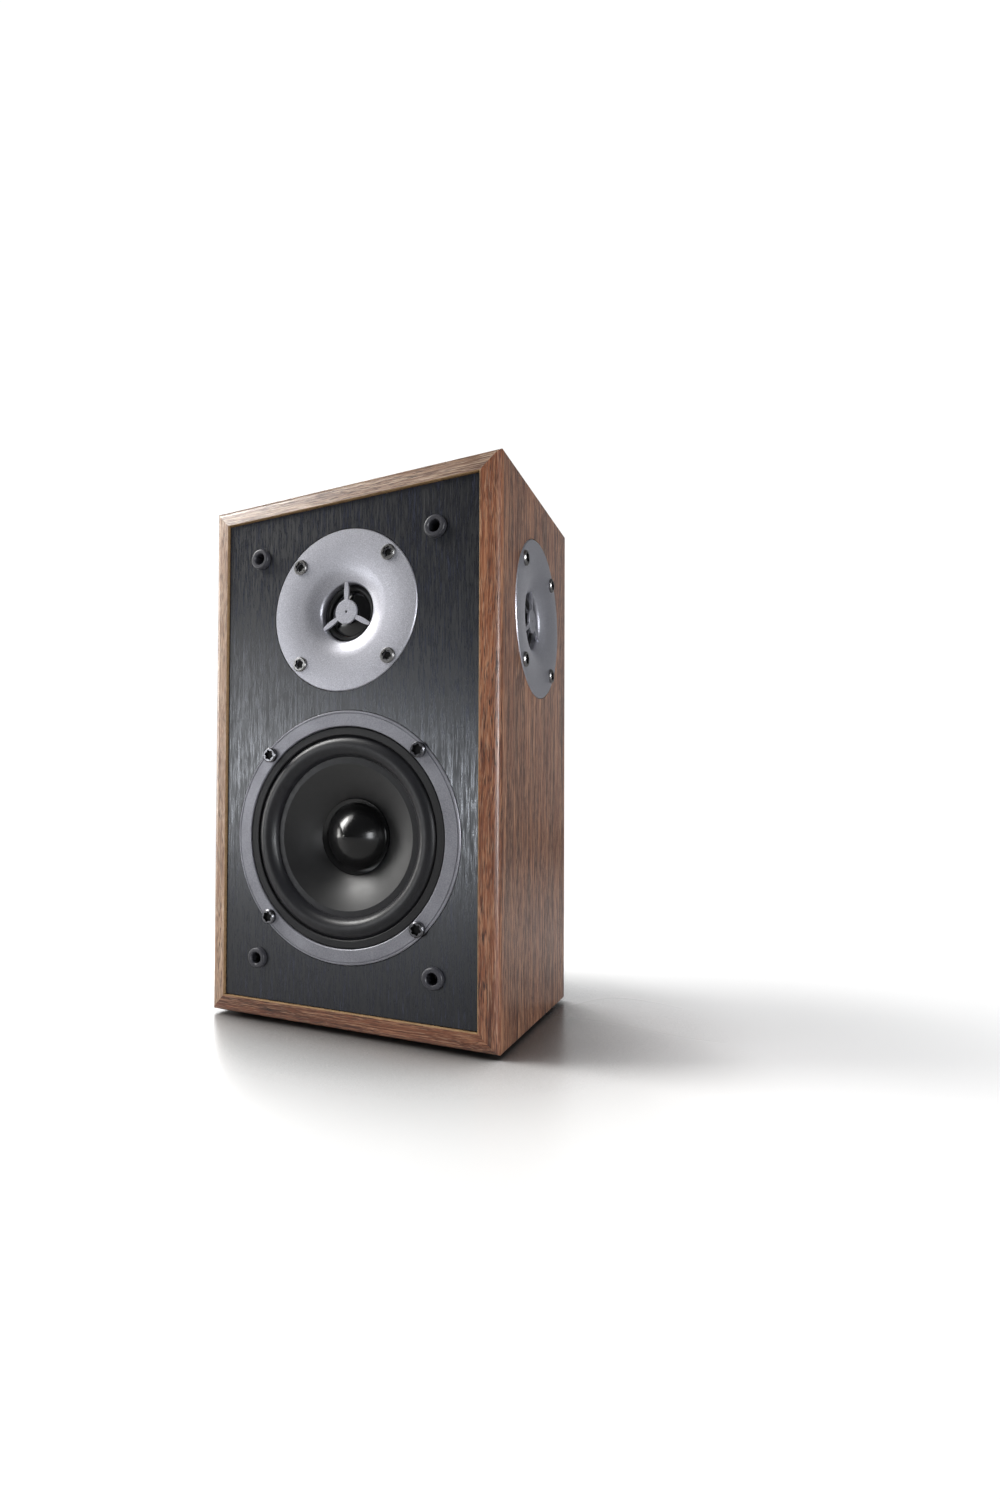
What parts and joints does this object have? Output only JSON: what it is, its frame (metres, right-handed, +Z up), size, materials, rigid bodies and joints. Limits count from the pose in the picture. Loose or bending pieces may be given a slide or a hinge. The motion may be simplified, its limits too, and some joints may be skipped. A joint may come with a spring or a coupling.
{
  "type": "bookshelf loudspeaker",
  "caption": "Compact two-way bookshelf loudspeaker: mitred walnut case, dark baffle with cone woofer and horn-loaded dome tweeter, more tweeters on the flanks, rear port and terminals.",
  "frame": {"origin": "middle of the overall box, at the underside of the rubber feet", "axes": "+Z up; the front baffle looks along -Y; +X is to the right seen from the front"},
  "size_m": [0.1818, 0.1414, 0.302],
  "materials": {
    "walnut_veneer": "satin open-grained walnut",
    "charcoal_baffle": "charcoal finish with fine vertical brushed streaks",
    "black_back": "fine-textured black paint",
    "black_rubber": "matt moulded rubber",
    "socket_plastic": "satin moulded plastic",
    "port_plastic": "satin moulded plastic",
    "wadding": "white polyester fibre",
    "black_steel": "black enamel",
    "black_foam": "closed-cell foam",
    "silver_trim": "satin silver-grey lacquer",
    "grey_clamp": "satin dark grey",
    "surround_rubber": "smooth satin rubber",
    "spider_cloth": "resin-treated cotton weave",
    "cone_grey": "satin coated cone",
    "gloss_black": "gloss",
    "former_aluminium": "rolled foil",
    "copper_winding": "enamelled copper wire",
    "zinc_steel": "bright zinc plate",
    "ferrite": "ground ferrite",
    "terminal_brass": "gold-coloured plate",
    "dark_screws": "dark nickel",
    "black_screws": "black oxide",
    "silver_plate": "satin silver lacquer with fine sparkle",
    "dome_black": "glossy coated membrane",
    "cup_plastic": "fine-textured moulded plastic",
    "red_knob_plastic": "gloss moulded plastic",
    "black_knob_plastic": "gloss moulded plastic",
    "circuit_board": "solder-masked laminate",
    "capacitor_film": "lacquered film",
    "cement": "cement body",
    "cable_jacket": "soft jacket"
  },
  "bodies": {
    "cabinet": {"top_panel": "walnut_veneer", "bottom_panel": "walnut_veneer", "left_panel": "walnut_veneer", "right_panel": "walnut_veneer", "front_baffle": "charcoal_baffle", "back_panel": "black_back", "rubber_feet": "black_rubber", "grille_sockets": "socket_plastic", "reflex_port_tube": "port_plastic", "damping_wadding": "wadding", "woofer_basket": "black_steel", "woofer_gasket": "black_foam", "woofer_trim_ring": "silver_trim", "woofer_surround_clamp": "grey_clamp", "woofer_surround": "surround_rubber", "woofer_spider": "spider_cloth", "woofer_top_plate": "zinc_steel", "woofer_magnet": "ferrite", "woofer_yoke": "zinc_steel", "woofer_terminals": "terminal_brass", "woofer_screws": "dark_screws", "front_tweeter_faceplate": "silver_plate", "left_tweeter_faceplate": "silver_plate", "right_tweeter_faceplate": "silver_plate", "front_tweeter_surround": "dome_black", "left_tweeter_surround": "dome_black", "right_tweeter_surround": "dome_black", "front_tweeter_magnet": "ferrite", "left_tweeter_magnet": "ferrite", "right_tweeter_magnet": "ferrite", "tweeter_top_plates": "zinc_steel", "tweeter_yokes": "zinc_steel", "tweeter_gaskets": "black_foam", "tweeter_screws": "dark_screws", "terminal_cup": "cup_plastic", "terminal_cup_screws": "black_screws", "post_studs": "terminal_brass", "post_nuts": "terminal_brass", "crossover_board": "circuit_board", "crossover_capacitors": "capacitor_film", "crossover_coils": "copper_winding", "crossover_resistors": "cement", "crossover_screws": "black_screws", "crossover_standoffs": "socket_plastic", "internal_wiring": "cable_jacket"},
    "woofer_diaphragm": {"woofer_cone": "cone_grey", "woofer_dust_cap": "gloss_black", "woofer_coil_former": "former_aluminium", "woofer_voice_coil": "copper_winding"},
    "front_tweeter_diaphragm": {"front_tweeter_dome": "dome_black", "front_tweeter_voice_coil": "copper_winding"},
    "left_tweeter_diaphragm": {"left_tweeter_dome": "dome_black", "left_tweeter_voice_coil": "copper_winding"},
    "right_tweeter_diaphragm": {"right_tweeter_dome": "dome_black", "right_tweeter_voice_coil": "copper_winding"},
    "red_post_clamp": {"red_post_washer": "terminal_brass"},
    "red_post_grip": {"red_post_knob": "red_knob_plastic"},
    "black_post_clamp": {"black_post_washer": "terminal_brass"},
    "black_post_grip": {"black_post_knob": "black_knob_plastic"}
  },
  "joints": [
    {"name": "woofer_cone_travel", "type": "slide", "parent": "cabinet", "child": "woofer_diaphragm", "axis": [0, -1, 0], "range_m": [-0.004, 0.004], "stiffness_N_per_m": 1200, "deforming": ["woofer_surround", "woofer_spider"]},
    {"name": "front_tweeter_travel", "type": "slide", "parent": "cabinet", "child": "front_tweeter_diaphragm", "axis": [0, -1, 0], "range_m": [-0.0005, 0.0005], "stiffness_N_per_m": 900, "deforming": ["front_tweeter_surround"]},
    {"name": "left_tweeter_travel", "type": "slide", "parent": "cabinet", "child": "left_tweeter_diaphragm", "axis": [-1, 0, 0], "range_m": [-0.0005, 0.0005], "stiffness_N_per_m": 900, "deforming": ["left_tweeter_surround"]},
    {"name": "right_tweeter_travel", "type": "slide", "parent": "cabinet", "child": "right_tweeter_diaphragm", "axis": [1, 0, 0], "range_m": [-0.0005, 0.0005], "stiffness_N_per_m": 900, "deforming": ["right_tweeter_surround"]},
    {"name": "red_clamp_travel", "type": "slide", "parent": "cabinet", "child": "red_post_clamp", "axis": [0, 1, 0], "range_m": [0, 0.004]},
    {"name": "red_knob_turn", "type": "hinge", "parent": "red_post_clamp", "child": "red_post_grip", "pos_m": [-0.00953, 0.06073, 0.064], "axis": [0, 1, 0], "range_deg": [0, 1440]},
    {"name": "black_clamp_travel", "type": "slide", "parent": "cabinet", "child": "black_post_clamp", "axis": [0, 1, 0], "range_m": [0, 0.004]},
    {"name": "black_knob_turn", "type": "hinge", "parent": "black_post_clamp", "child": "black_post_grip", "pos_m": [0.00953, 0.06073, 0.064], "axis": [0, 1, 0], "range_deg": [0, 1440]}
  ],
  "couplings": [
    {"joint": "red_knob_turn", "follows": "red_clamp_travel", "rad_per_m": 6283.2},
    {"joint": "black_knob_turn", "follows": "black_clamp_travel", "rad_per_m": 6283.2}
  ]
}
